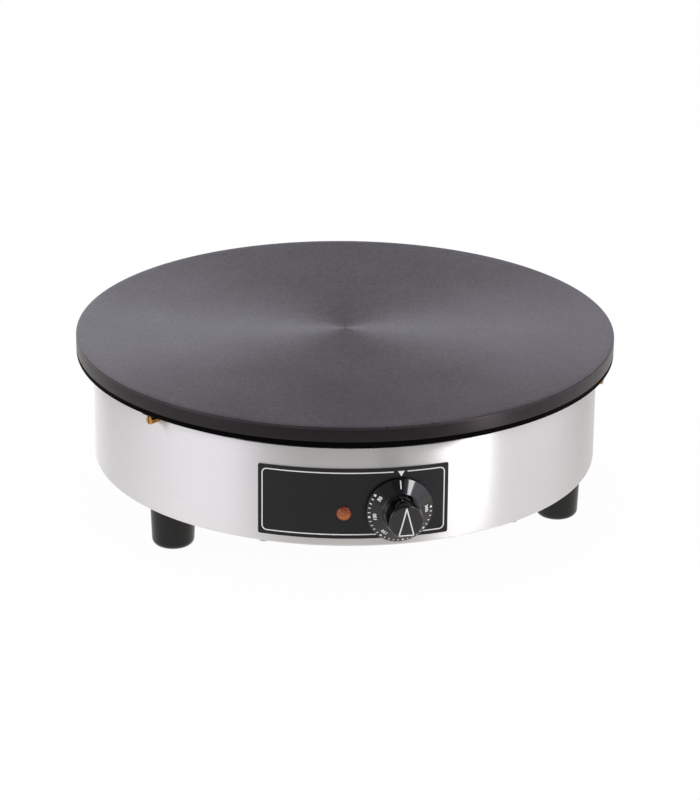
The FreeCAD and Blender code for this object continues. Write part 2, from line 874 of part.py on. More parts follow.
def capillary_bulb():
    """Sensing bulb under the plate, with its capillary led down through the tray to the thermostat."""
    bulb = turned([(0, 0, 0), (bulb_radius, 0, 0), (bulb_radius, bulb_length, 0), (0, bulb_length, 0)])
    bulb = outward(bulb, 0, bulb_start, bulb_height)
    entry = dial_height + thermostat_height / 4
    tube = bent_tube([V(0, -bulb_start - capillary_radius, bulb_height), V(0, capillary_down, bulb_height),
                      V(0, capillary_down, entry), V(0, thermostat_rear + seat_clearance, entry)],
                     capillary_radius)
    return bulb.fuse(tube)


def bulb_clip():
    """Thin steel strap that presses the bulb against the plate, held at its wings."""
    gap = bulb_radius + seat_clearance
    outer = gap + clip_wall
    middle = bulb_start + bulb_length / 2
    front = -middle - clip_width / 2
    rear = -middle + clip_width / 2
    strap = rod(outer, V(0, front, bulb_height), V(0, rear, bulb_height))
    strap = strap.fuse(box_between(V(-outer, front, bulb_height), V(outer, rear, plate_under)))
    strap = strap.fuse(box_between(V(-outer - clip_wing, front, plate_under - clip_wall),
                                   V(outer + clip_wing, rear, plate_under)))
    hollow = rod(gap, V(0, front, bulb_height), V(0, rear, bulb_height))
    hollow = hollow.fuse(box_between(V(-gap, front, bulb_height), V(gap, rear, plate_under)))
    above = box_between(V(-outer, front, plate_under), V(outer, rear, bulb_height + outer))
    return strap.cut(hollow).cut(above)


def cable_gland():
    """Hexagon collar against the casing, a neck for the nut and a threaded tail through the wall."""
    start = casing_radius
    body = hexagon(gland_flats, gland_collar, 0)
    body = body.fuse(Part.makeCylinder(gland_neck_radius, gland_collar + gland_neck))
    body = body.fuse(Part.makeCylinder(gland_thread_radius, gland_inner_length, ORIGIN, -UP))
    bore = Part.makeCylinder(gland_bore_radius, gland_inner_length + gland_collar + gland_neck,
                             V(0, 0, -gland_inner_length), UP)
    return outward(body.cut(bore), 180, start, gland_height)


def gland_nut():
    """Dome nut over the neck, with a tapered nose round the cable's way in."""
    corner = gland_flats / 2
    bore = gland_neck_radius + hole_clearance
    inner = gland_nut_length - gland_nut_mouth
    shell = turned([
        (bore, 0, 0),
        (corner, 0, 0),
        (corner, gland_nut_length - gland_nut_taper, 0),
        (gland_bore_radius + gland_nut_mouth, gland_nut_length, 0),
        (gland_bore_radius, gland_nut_length, 0),
        (gland_bore_radius, inner, 0),
        (bore, inner, 0),
    ])
    return outward(shell, 180, casing_radius + gland_collar + seat_clearance, gland_height)


def gland_seal():
    """Rubber sleeve inside the neck that grips the cable."""
    end = casing_radius + gland_collar + gland_neck
    outer = gland_bore_radius - running_clearance
    one = turned([(seal_bore_radius, 0, 0), (outer, 0, 0), (outer, seal_length, 0),
                  (seal_bore_radius, seal_length, 0)])
    return outward(one, 180, end - seal_length, gland_height)


def gland_locknut():
    """Nut on the gland's tail behind the casing."""
    seat = math.sqrt(casing_inner ** 2 - gland_flats ** 2 / 3) - seat_clearance
    one = hexagon(gland_flats, locknut_thickness, gland_thread_radius + running_clearance)
    return outward(one, 180, seat - locknut_thickness, gland_height)


def terminal_block():
    """Ceramic block with three poles that open to the front."""
    low = V(-block_width / 2, block_position - block_depth / 2, pan_top)
    high = V(block_width / 2, block_position + block_depth / 2, pan_top + block_height)
    body = box_between(low, high)
    for pole in (-1, 0, 1):
        x = pole * block_pole_pitch
        body = body.cut(rod(block_pole_radius, V(x, low.y, pole_height),
                            V(x, low.y + block_pole_depth, pole_height)))
    return body


def earth_stud():
    """Earth screw through the pan."""
    angle = 180 - earth_stud_angle
    return rod(earth_stud_radius - running_clearance, around(earth_stud_circle, angle, casing_bottom),
               around(earth_stud_circle, angle, pan_top + earth_stud_height))


def earth_nut():
    """Nut that holds the earth screw on the pan."""
    one = hexagon(earth_nut_flats, earth_nut_height, earth_stud_radius)
    return placed(one, around(earth_stud_circle, 180 - earth_stud_angle, pan_top))


def pole(side):
    """Mouth of one pole of the terminal block."""
    return V(side * block_pole_pitch, block_position - block_depth / 2, pole_height)


def blade(side):
    """Rear end of one thermostat blade."""
    return V(side * thermostat_screw_spacing / 2, thermostat_rear + blade_length, dial_height)


def lead_from_pole(side):
    """First points of a lead: inside a pole, straight out of it and down to the pan."""
    start = pole(side)
    return [V(start.x, start.y + block_pole_depth - seat_clearance, start.z),
            V(start.x, start.y - lead_straight, start.z),
            V(start.x, start.y - lead_bend_end, lead_height)]


def live_lead():
    """From the terminal block along the pan to the thermostat's left blade."""
    end = blade(-1)
    return bent_tube(lead_from_pole(-1) + [V(end.x, end.y + lead_bend_end, lead_height),
                                           V(end.x, end.y + lead_straight, end.z),
                                           V(end.x, end.y + seat_clearance, end.z)], lead_radius)


def switched_lead():
    """From the thermostat's right blade up to the element's outer end."""
    start = blade(1)
    end = cold_end_foot(0)
    low = end.z - lead_straight
    return bent_tube([V(start.x, start.y + seat_clearance, start.z),
                      V(start.x, start.y + lead_straight, start.z),
                      V((start.x + end.x) / 2, end.y + lead_rise, low), V(end.x, end.y, low),
                      V(end.x, end.y, end.z - seat_clearance)], lead_radius)


def neutral_lead():
    """From the terminal block along the pan and up to the element's inner end."""
    end = cold_end_foot(1)
    return bent_tube(lead_from_pole(1) + [V(end.x, end.y + lead_bend_end, lead_height),
                                          V(end.x, end.y, lead_height + lead_rise),
                                          V(end.x, end.y, end.z - seat_clearance)], lead_radius)


PARTS = {
    "griddle_plate": griddle_plate,
    "plate_screws": plate_screws,
    "plate_screw_washers": plate_screw_washers,
    "casing_shell": casing_shell,
    "base_pan": base_pan,
    "base_rivets": base_rivets,
    "feet": feet,
    "foot_screws": foot_screws,
    "foot_nuts": foot_nuts,
    "heating_element": heating_element,
    "element_clamps": element_clamps,
    "clamp_studs": clamp_studs,
    "clamp_nuts": clamp_nuts,
    "reflector_tray": reflector_tray,
    "insulation_blanket": insulation_blanket,
    "tray_posts": tray_posts,
    "thermostat_bracket": thermostat_bracket,
    "thermostat_body": thermostat_body,
    "thermostat_screws": thermostat_screws,
    "thermostat_shaft": thermostat_shaft,
    "capillary_bulb": capillary_bulb,
    "bulb_clip": bulb_clip,
    "knob": knob,
    "control_panel": control_panel,
    "pilot_lamp": pilot_lamp,
    "lamp_clip": lamp_clip_ring,
    "lamp_pins": lamp_pins,
    "cable_gland": cable_gland,
    "gland_nut": gland_nut,
    "gland_seal": gland_seal,
    "gland_locknut": gland_locknut,
    "terminal_block": terminal_block,
    "earth_stud": earth_stud,
    "earth_nut": earth_nut,
    "live_lead": live_lead,
    "switched_lead": switched_lead,
    "neutral_lead": neutral_lead,
}

os.makedirs("parts", exist_ok=True)


def export(name, made):
    """One STEP file for each sub-part, whose solids stay separate."""
    solids = []
    for shape in made if isinstance(made, list) else [made]:
        solids += shape.Solids
    whole = solids[0] if len(solids) == 1 else Part.makeCompound(solids)
    if not whole.isValid():
        raise ValueError(name + " is not a valid shape")
    whole.exportStep("parts/" + name + ".step")


for name, make in PARTS.items():
    export(name, make())
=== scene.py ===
import math

import bmesh
import bpy
from mathutils import Matrix, Vector


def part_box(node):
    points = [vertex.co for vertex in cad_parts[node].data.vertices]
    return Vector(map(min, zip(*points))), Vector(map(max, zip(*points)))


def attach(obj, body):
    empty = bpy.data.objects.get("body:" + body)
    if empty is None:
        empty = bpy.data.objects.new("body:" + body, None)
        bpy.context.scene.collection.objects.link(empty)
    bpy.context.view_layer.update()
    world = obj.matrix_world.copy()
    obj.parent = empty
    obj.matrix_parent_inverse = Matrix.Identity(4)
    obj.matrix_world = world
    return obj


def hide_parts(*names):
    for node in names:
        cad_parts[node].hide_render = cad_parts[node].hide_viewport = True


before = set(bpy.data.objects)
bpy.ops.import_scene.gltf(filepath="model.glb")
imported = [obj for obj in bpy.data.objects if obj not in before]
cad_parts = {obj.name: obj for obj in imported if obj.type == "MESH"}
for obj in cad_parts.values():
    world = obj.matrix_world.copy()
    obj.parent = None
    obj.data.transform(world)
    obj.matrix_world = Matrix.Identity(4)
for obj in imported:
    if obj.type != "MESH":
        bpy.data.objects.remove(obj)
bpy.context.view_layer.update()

MM = 0.001

# Camera: a long lens 2.6 m away, 20 degrees above the worktop and 12 degrees to the left of the dial,
# as the ellipses of the plate and of the casing give it in the 700 x 800 picture.
picture = (700, 800)
camera_distance = 2.6
camera_azimuth = math.radians(-12.0)
camera_elevation = math.radians(20.316)
camera_roll = math.radians(-0.533)
focal_pixels = 3489.0
aim = (344.5, 327.7)
sensor_width = 36.0
plate_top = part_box("griddle_plate")[1].z

forward = Vector((0, math.cos(camera_elevation), -math.sin(camera_elevation)))
right = Vector((1, 0, 0))
up = right.cross(forward)
across = math.atan((aim[0] - picture[0] / 2) / focal_pixels)
down = math.atan((aim[1] - picture[1] / 2) / focal_pixels)
forward, right = (forward * math.cos(across) - right * math.sin(across),
                  right * math.cos(across) + forward * math.sin(across))
forward, up = (forward * math.cos(down) + up * math.sin(down),
               up * math.cos(down) - forward * math.sin(down))
right, up = (right * math.cos(camera_roll) - up * math.sin(camera_roll),
             right * math.sin(camera_roll) + up * math.cos(camera_roll))
swing = Matrix.Rotation(camera_azimuth, 3, "Z")
standpoint = Vector((0, -math.cos(camera_elevation), math.sin(camera_elevation))) * camera_distance
turn = Matrix((swing @ right, swing @ up, swing @ -forward)).transposed()
lens = bpy.data.cameras.new("camera")
lens.sensor_width = sensor_width
lens.lens = focal_pixels * sensor_width / max(picture)
lens.clip_start = 0.1
lens.clip_end = 50
camera = bpy.data.objects.new("camera", lens)
bpy.context.scene.collection.objects.link(camera)
camera.matrix_world = Matrix.Translation(swing @ standpoint + Vector((0, 0, plate_top))) @ turn.to_4x4()
bpy.context.scene.camera = camera


# Studio: a sheet of white paper under the appliance, a curtain of soft boxes round it and a dim room
# above. The camera sees paper and room as plain white; the metal sees each side's brightness and a painted
# streak of light on the paper.
def linear(hex_colour):
    """Linear RGBA of an sRGB colour written as RRGGBB."""
    channels = [int(hex_colour[i:i + 2], 16) / 255 for i in (0, 2, 4)]
    return [c / 12.92 if c <= 0.04045 else ((c + 0.055) / 1.055) ** 2.4 for c in channels] + [1.0]


def add_node(tree, kind, inputs=None, **settings):
    """A shader node with its settings; an input is a value or another node's socket."""
    made = tree.nodes.new(kind)
    for name, value in settings.items():
        setattr(made, name, value)
    for key, value in (inputs or {}).items():
        if isinstance(value, bpy.types.NodeSocket):
            tree.links.new(value, made.inputs[key])
        else:
            made.inputs[key].default_value = value
    return made


def new_material(name):
    """An empty node material, its tree and its output node."""
    material = bpy.data.materials.new(name)
    material.use_nodes = True
    tree = material.node_tree
    tree.nodes.clear()
    return material, tree, tree.nodes.new("ShaderNodeOutputMaterial")


def ranged(tree, value, low, high, to_low=0.0, to_high=1.0):
    """A value mapped from one range to another and held inside it."""
    made = add_node(tree, "ShaderNodeMapRange", {"Value": value, "From Min": low, "From Max": high,
                                                 "To Min": to_low, "To Max": to_high})
    return made.outputs["Result"]


def side_brightness(tree, place, sides):
    """Brightness by direction from the appliance: (degrees from the front towards +X, brightness)."""
    parts = add_node(tree, "ShaderNodeSeparateXYZ", {0: place})
    front = add_node(tree, "ShaderNodeMath", {0: parts.outputs["Y"], 1: -1.0}, operation="MULTIPLY")
    bearing = add_node(tree, "ShaderNodeMath", {0: parts.outputs["X"], 1: front.outputs[0]},
                       operation="ARCTAN2")
    ramp = add_node(tree, "ShaderNodeValToRGB", {"Fac": ranged(tree, bearing.outputs[0], -math.pi, math.pi)})
    stops = ramp.color_ramp.elements
    brightest = max(value for angle, value in sides)
    while len(stops) < len(sides):
        stops.new(1.0)
    for stop, (angle, value) in zip(stops, sides):
        stop.position = angle / 360 + 0.5
        stop.color = [value / brightest] * 3 + [1.0]
    made = add_node(tree, "ShaderNodeMath", {0: ramp.outputs["Color"], 1: brightest}, operation="MULTIPLY")
    return made.outputs[0]


def seen_through(tree, rays):
    """1 for a ray that comes from the camera, straight or through something clear."""
    made = add_node(tree, "ShaderNodeMath", {0: rays.outputs["Is Camera Ray"],
                                             1: rays.outputs["Is Transmission Ray"]}, operation="MAXIMUM")
    return made.outputs[0]


def paper_material():
    """White paper that keeps the appliance's shadow. Away from the appliance, its reflection has a
    painted streak of light, glowing where the paper lies before the strip box. From below it is clear."""
    material, tree, output = new_material("studio_paper")
    rays = add_node(tree, "ShaderNodeLightPath")
    place = add_node(tree, "ShaderNodeTexCoord").outputs["Object"]
    away = add_node(tree, "ShaderNodeVectorMath", {0: place}, operation="LENGTH")
    # Painted light: the paper glows brighter before the strip box, seen only in reflections.
    painted_streak = side_brightness(tree, place, paper_painted_light_sides)
    mirrored = add_node(tree, "ShaderNodeMix", {0: ranged(tree, away.outputs["Value"], painted_streak_start,
                                                          painted_streak_full), 2: 1.0, 3: painted_streak})
    paper = add_node(tree, "ShaderNodeBsdfDiffuse", {"Color": linear("E6E5E4")})
    white = add_node(tree, "ShaderNodeEmission", {"Color": linear("FFFFFF"), "Strength": 1.0})
    glow = add_node(tree, "ShaderNodeEmission", {"Color": linear("FFFBF8"), "Strength": mirrored.outputs[0]})
    seen = add_node(tree, "ShaderNodeMath", {0: seen_through(tree, rays), 1: paper_white},
                    operation="MULTIPLY")
    glossy = add_node(tree, "ShaderNodeMixShader", {0: rays.outputs["Is Glossy Ray"], 1: paper.outputs[0],
                                                    2: glow.outputs[0]})
    mix = add_node(tree, "ShaderNodeMixShader", {0: seen.outputs[0], 1: glossy.outputs[0],
                                                 2: white.outputs[0]})
    below = add_node(tree, "ShaderNodeNewGeometry").outputs["Backfacing"]
    nothing = add_node(tree, "ShaderNodeBsdfTransparent")
    sheet = add_node(tree, "ShaderNodeMixShader", {0: below, 1: mix.outputs[0], 2: nothing.outputs[0]})
    tree.links.new(sheet.outputs[0], output.inputs["Surface"])
    return material


def curtain_material():
    """Lit diffuser cloth, bright at the left, at the back and beside the strip box, dim at the camera."""
    material, tree, output = new_material("studio_curtain")
    place = add_node(tree, "ShaderNodeTexCoord").outputs["Object"]
    glow = add_node(tree, "ShaderNodeEmission", {"Color": linear("F3F4FF"),
                                                 "Strength": side_brightness(tree, place, curtain_sides)})
    tree.links.new(glow.outputs[0], output.inputs["Surface"])
    return material


def add_stage(name, bm, material):
    """A piece of the studio, not of the appliance."""
    mesh = bpy.data.meshes.new(name)
    bm.to_mesh(mesh)
    bm.free()
    mesh.materials.append(material)
    made = bpy.data.objects.new(name, mesh)
    bpy.context.scene.collection.objects.link(made)
    return made


# Degrees from the front towards +X, and how bright the paper and the cloth are there. The paper's painted
# streak of light comes up between two distances in metres. The camera sees the paper's own shade through its
# white.
paper_painted_light_sides = [(-180, 1.0), (34, 1.0), (38, 13.0), (42, 13.0), (45, 1.5), (85, 1.4), (110, 1.0), (180, 1.0)]
painted_streak_start = 0.36
painted_streak_full = 0.6
paper_white = 0.97
curtain_sides = [(-180, 1.9), (-166, 1.9), (-139, 0.8), (-116, 1.3), (-82, 2.4), (-61, 2.5), (-44, 0.9),
                 (-28, 0.4), (12, 0.4), (32, 0.9), (44, 1.9), (54, 1.9), (62, 1.5), (90, 1.3),
                 (115, 0.5), (140, 0.7), (158, 1.5), (180, 1.9)]

sheet_reach = 6.0
bm = bmesh.new()
bmesh.ops.create_grid(bm, x_segments=1, y_segments=1, size=sheet_reach)
add_stage("studio_sheet", bm, paper_material())

curtain_radius = 3.0
curtain_height = 2.2
bm = bmesh.new()
bmesh.ops.create_circle(bm, segments=96, radius=curtain_radius)
raised = bmesh.ops.extrude_edge_only(bm, edges=bm.edges[:])["geom"]
bmesh.ops.translate(bm, vec=(0, 0, curtain_height),
                    verts=[part for part in raised if isinstance(part, bmesh.types.BMVert)])
curtain = add_stage("studio_curtain", bm, curtain_material())
curtain.visible_camera = False
curtain.visible_diffuse = False
curtain.visible_transmission = False
curtain.visible_shadow = False

room_light = 0.6
room_mirrored = 0.22
world = bpy.data.worlds.new("studio_room")
bpy.context.scene.world = world
world.use_nodes = True
air = world.node_tree
air.nodes.clear()
rays = add_node(air, "ShaderNodeLightPath")
white = add_node(air, "ShaderNodeBackground", {"Color": linear("FFFFFF"), "Strength": 1.0})
soft = add_node(air, "ShaderNodeBackground", {"Color": linear("FFFFFF"), "Strength": room_light})
dim = add_node(air, "ShaderNodeBackground", {"Color": linear("FFFDFC"), "Strength": room_mirrored})
room = add_node(air, "ShaderNodeMixShader", {0: rays.outputs["Is Glossy Ray"], 1: soft.outputs[0],
                                             2: dim.outputs[0]})
mix = add_node(air, "ShaderNodeMixShader", {0: seen_through(air, rays), 1: room.outputs[0],
                                            2: white.outputs[0]})
air.links.new(mix.outputs[0], air.nodes.new("ShaderNodeOutputWorld").inputs["Surface"])


def add_soft_box(name, azimuth, elevation, distance, width, height, power, mirrored=False):
    """Area light turned to face the appliance: degrees from the front towards +X and above the
    worktop, then metres and watts."""
    data = bpy.data.lights.new(name, "AREA")
    data.shape = "RECTANGLE"
    data.size = width
    data.size_y = height
    data.energy = power
    box = bpy.data.objects.new(name, data)
    a, e = math.radians(azimuth), math.radians(elevation)
    away = Vector((math.sin(a) * math.cos(e), -math.cos(a) * math.cos(e), math.sin(e)))
    box.location = away * distance + Vector((0, 0, plate_top / 2))
    box.rotation_mode = "QUATERNION"
    box.rotation_quaternion = away.to_track_quat("Z", "Y")
    box.visible_camera = False
    box.visible_glossy = mirrored
    bpy.context.scene.collection.objects.link(box)


add_soft_box("left_box", -90, 35, 2.2, 1.5, 1.3, 22)
add_soft_box("right_box", 70, 35, 2.2, 1.2, 1.3, 8)
add_soft_box("top_box", 170, 75, 2.2, 1.4, 1.4, 14)
add_soft_box("strip_box", 39, 33, 2.6, 0.55, 0.65, 14, mirrored=True)


# Griddle plate: one casting of grey iron, 400 mm across, seasoned with baked oil. Its top and rim are
# turned. A ring, three lugs for the side screws and three bosses for the clamp studs are cast below. The
# rim's side and underside are painted darker as shade, and a near-black band under the rim is painted shade.
APPLIANCE = "appliance"


def rounded(points, segments=5):
    """Outline of (radius, height) points in mm; a third number rounds that corner with an arc."""
    made = []
    for i, point in enumerate(points):
        here = Vector(point[:2])
        if len(point) == 2:
            made.append(here)
            continue
        before = (Vector(points[i - 1][:2]) - here).normalized()
        after = (Vector(points[(i + 1) % len(points)][:2]) - here).normalized()
        half = before.angle(after) / 2
        middle = here + (before + after).normalized() * (point[2] / math.sin(half))
        start = here + before * (point[2] / math.tan(half)) - middle
        end = here + after * (point[2] / math.tan(half)) - middle
        first = math.atan2(start.y, start.x)
        sweep = (math.atan2(end.y, end.x) - first + math.pi) % (2 * math.pi) - math.pi
        for step in range(segments + 1):
            bearing = first + sweep * step / segments
            made.append(middle + Vector((math.cos(bearing), math.sin(bearing))) * point[2])
    return made


def lathe(bm, outline, steps, closed=False):
    """Spins an outline of (radius, height) points in mm about Z; returns the new corners in metres."""
    old = set(bm.verts)
    line = [bm.verts.new((p[0] * MM, 0, p[1] * MM)) for p in outline]
    count = len(line) if closed else len(line) - 1
    edges = [bm.edges.new((line[i], line[(i + 1) % len(line)])) for i in range(count)]
    bmesh.ops.spin(bm, geom=line + edges, cent=(0, 0, 0), axis=(0, 0, 1), dvec=(0, 0, 0),
                   angle=2 * math.pi, steps=steps, use_merge=True)
    bmesh.ops.remove_doubles(bm, verts=[vert for vert in bm.verts if vert not in old], dist=1e-7)
    return [vert for vert in bm.verts if vert not in old]


def bevelled_box(bm, size, middle, bevel, segments=2):
    """Box with rounded edges; sizes in mm. Returns its corners."""
    old = set(bm.verts)
    cube = bmesh.ops.create_cube(bm, size=1.0)["verts"]
    bmesh.ops.scale(bm, vec=Vector(size) * MM, verts=cube)
    bmesh.ops.translate(bm, vec=Vector(middle) * MM, verts=cube)
    edges = list({edge for vert in cube for edge in vert.link_edges})
    if bevel:
        bmesh.ops.bevel(bm, geom=edges, offset=bevel * MM, affect="EDGES", segments=segments,
                        profile=0.5, material=-1)
    return [vert for vert in bm.verts if vert not in old]


def turn_to(bm, verts, angle):
    """Turns something drawn towards -Y to an angle from the front, in degrees towards +X."""
    bmesh.ops.rotate(bm, cent=(0, 0, 0), matrix=Matrix.Rotation(math.radians(angle), 3, "Z"), verts=verts)


def lay_outward(bm, verts, angle, radius, height):
    """Lays something drawn along +Z so that it points away from the middle; lengths in mm."""
    bmesh.ops.rotate(bm, cent=(0, 0, 0), matrix=Matrix.Rotation(math.pi / 2, 3, "X"), verts=verts)
    bmesh.ops.translate(bm, vec=(0, -radius * MM, height * MM), verts=verts)
    turn_to(bm, verts, angle)


def make_piece(name, bm, body, material, sharp=30.0):
    """Object of a mesh with outward faces, smooth up to an angle, riding on its body."""
    bmesh.ops.recalc_face_normals(bm, faces=bm.faces)
    mesh = bpy.data.meshes.new(name)
    bm.to_mesh(mesh)
    bm.free()
    mesh.polygons.foreach_set("use_smooth", [True] * len(mesh.polygons))
    mesh.set_sharp_from_angle(angle=math.radians(sharp))
    mesh.materials.append(material)
    piece = bpy.data.objects.new(name, mesh)
    bpy.context.scene.collection.objects.link(piece)
    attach(piece, body)
    return piece


def groove_frame(tree):
    """Object position, distance from the axis, height, and the direction across lathe grooves."""
    place = add_node(tree, "ShaderNodeTexCoord").outputs["Object"]
    parts = add_node(tree, "ShaderNodeSeparateXYZ", {0: place})
    back = add_node(tree, "ShaderNodeMath", {0: parts.outputs["Y"], 1: -1.0}, operation="MULTIPLY")
    along = add_node(tree, "ShaderNodeCombineXYZ", {"X": back.outputs[0], "Y": parts.outputs["X"]})
    face = add_node(tree, "ShaderNodeNewGeometry")
    across = add_node(tree, "ShaderNodeVectorMath", {0: face.outputs["Normal"], 1: along.outputs[0]},
                      operation="CROSS_PRODUCT")
    radius = add_node(tree, "ShaderNodeVectorMath", {0: along.outputs[0]}, operation="LENGTH")
    return place, radius.outputs["Value"], parts.outputs["Z"], across.outputs[0]


def noise(tree, vector, cell, detail=3.0, roughness=0.6):
    """Factor of a noise texture whose cells have a size in mm."""
    made = add_node(tree, "ShaderNodeTexNoise", {"Vector": vector, "Scale": 1 / (cell * MM),
                                                 "Detail": detail, "Roughness": roughness})
    return made.outputs["Fac"]


def blend_colours(tree, factor, first, second):
    """Colour between two others, each written as RRGGBB or given as a socket."""
    made = add_node(tree, "ShaderNodeMix", {0: factor}, data_type="RGBA")
    for place, colour in ((6, first), (7, second)):
        if isinstance(colour, str):
            made.inputs[place].default_value = linear(colour)
        else:
            tree.links.new(colour, made.inputs[place])
    return made.outputs[2]


def seasoned_iron(painted_shade_line):
    """Turned grey iron under a black film of baked oil. The lathe's rings stretch each highlight
    across them, which draws the bow tie on the top. Open pores and the feed's rings break it up, and
    are drawn about three times as coarse as real ones, so that they show. Below a height in metres,
    the rim's side and the whole underside are painted near-black as shade."""
    material, tree, output = new_material("seasoned_turned_iron")
    place, radius, height, across = groove_frame(tree)
    ring_line = add_node(tree, "ShaderNodeCombineXYZ", {"X": radius, "Y": height})
    rings = noise(tree, ring_line.outputs[0], 1.11, 2.0, 0.7)
    grain = noise(tree, place, 2.38, 4.0, 0.65)
    clouds = noise(tree, place, 62.5, 2.0, 0.5)
    pores = add_node(tree, "ShaderNodeTexVoronoi", {"Vector": place, "Scale": 1 / (3.03 * MM),
                                                    "Randomness": 1.0})
    pore_size = noise(tree, place, 8.33, 1.0, 0.5)
    pore_edge = add_node(tree, "ShaderNodeMath", {0: pore_size, 1: 0.4}, operation="MULTIPLY")
    pored = add_node(tree, "ShaderNodeMath", {0: pores.outputs["Distance"], 1: pore_edge.outputs[0]},
                     operation="GREATER_THAN")
    tone = blend_colours(tree, ranged(tree, clouds, 0.35, 0.65), "251E22", "2E272C")
    # Painted shade: below the line, the rim's side and the whole underside take a near-black colour.
    tone = blend_colours(tree, ranged(tree, height, painted_shade_line - MM, painted_shade_line), "060303", tone)
    colour = blend_colours(tree, pored.outputs[0], "120D10", tone)
    relief = add_node(tree, "ShaderNodeMath", {0: rings, 1: grain}, operation="ADD")
    relief = add_node(tree, "ShaderNodeMath", {0: relief.outputs[0], 1: pored.outputs[0]}, operation="ADD")
    bump = add_node(tree, "ShaderNodeBump", {"Height": relief.outputs[0], "Strength": 0.16,
                                             "Distance": 0.2 * MM})
    rough = ranged(tree, grain, 0.3, 0.7, 0.36, 0.46)
    surface = add_node(tree, "ShaderNodeBsdfPrincipled",
                       {"Base Color": colour, "Roughness": rough, "IOR": 1.38,
                        "Specular Tint": linear("FFF4FA"), "Anisotropic": 0.7, "Tangent": across,
                        "Normal": bump.outputs[0]})
    tree.links.new(surface.outputs[0], output.inputs["Surface"])
    return material


def moulded_finish(name, dark, light, roughness, grain_size, relief, coat=0.0, mirror=0.5):
    """Plastic, rubber or the painted shade under the rim, nearly even in colour, with a grain in mm as the
    mould leaves it.
    """
    material, tree, output = new_material(name)
    place = add_node(tree, "ShaderNodeTexCoord").outputs["Object"]
    grain = noise(tree, place, grain_size, 3.0, 0.6)
    clouds = noise(tree, place, 25.0, 2.0, 0.5)
    colour = blend_colours(tree, ranged(tree, clouds, 0.35, 0.65), dark, light)
    bump = add_node(tree, "ShaderNodeBump", {"Height": grain, "Strength": relief, "Distance": 0.1 * MM})
    surface = add_node(tree, "ShaderNodeBsdfPrincipled",
                       {"Base Color": colour, "IOR": 1.4, "Specular IOR Level": mirror,
                        "Coat Weight": coat, "Coat Roughness": 0.04,
                        "Roughness": ranged(tree, grain, 0.3, 0.7, roughness - 0.04, roughness + 0.04),
                        "Normal": bump.outputs[0]})
    tree.links.new(surface.outputs[0], output.inputs["Surface"])
    return material


plate_radius = 200.0
plate_rim = 11.5
plate_web = 9.5
plate_land = 11.0
face_margin = 6.0
# How far below the top, in mm, the painted shade of the rim's side begins.
painted_shade_step = 1.0
top_round = 0.9
rim_round = 1.2
land_round = 0.5
ring_radius = 171.3
ring_wall = 4.0
ring_depth = 10.0
cast_round = 0.8
cast_fillet = 1.5
top = plate_top / MM
under = top - plate_web

screw_angles = (-57, 63, 183)
lug_size = (16, 14.8, 19)
lug_middle = (0, -177.4, 109.3)
lug_round = 1.2
lug_taper = 0.82
lug_foot = lug_middle[2] - lug_size[2] / 2
block_size = (11.5, 9.5, 5.4)
block_middle = (0, -193.2, 113.2)
block_round = 0.8

stud_angles = (-60, 60, 180)
stud_circle = 101.0
stud_hole = 3.05
boss_root = 8.0
boss_tip = 7.0
boss_depth = 5.0
sunk = 1.0

bm = bmesh.new()
lathe(bm, rounded([
    (0, top),
    (plate_radius - face_margin, top),
    (plate_radius, top, top_round),
    (plate_radius, top - plate_rim, rim_round),
    (plate_radius - plate_land, top - plate_rim, land_round),
    (plate_radius - plate_land, under, top_round),
    (ring_radius, under, cast_fillet),
    (ring_radius, under - ring_depth, cast_round),
    (ring_radius - ring_wall, under - ring_depth, cast_round),
    (ring_radius - ring_wall, under, cast_fillet),
    (0, under),
]), steps=256)
for angle in screw_angles:
    lug = bevelled_box(bm, lug_size, lug_middle, lug_round)
    for vert in lug:
        rise = min(1.0, (vert.co.z / MM - lug_foot) / (under - lug_foot))
        vert.co.x *= lug_taper + (1 - lug_taper) * rise
    block = bevelled_box(bm, block_size, block_middle, block_round)
    turn_to(bm, lug + block, angle)
for angle in stud_angles:
    boss = lathe(bm, rounded([(boss_root, under + sunk), (boss_tip, under - boss_depth, cast_round),
                              (stud_hole, under - boss_depth), (stud_hole, under + sunk)]), steps=32)
    bmesh.ops.translate(bm, vec=(0, -stud_circle * MM, 0), verts=boss)
    turn_to(bm, boss, angle)
plate = make_piece("griddle_casting", bm, APPLIANCE, seasoned_iron((top - painted_shade_step) * MM))
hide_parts("griddle_plate")

# Painted shade: a near-black, barely reflecting band under the rim, where the rim faces down into shade.
under_rim_shade = moulded_finish("painted_under_rim_shade", "020101", "040303", 0.75, 1.43, 0.5, mirror=0.05)
shade_band_depth = 3.4
shade_band_radius = plate_radius - 0.1
shade_band_high = top - plate_rim + sunk
shade_band_low = top - plate_rim - shade_band_depth
bm = bmesh.new()
lathe(bm, rounded([
    (shade_band_radius, shade_band_high),
    (shade_band_radius, shade_band_low, rim_round),
    (plate_radius - plate_land, shade_band_low, 0.4),
    (plate_radius - plate_land, shade_band_high),
]), steps=256, closed=True)
make_piece("painted_rim_shade_band", bm, APPLIANCE, under_rim_shade)


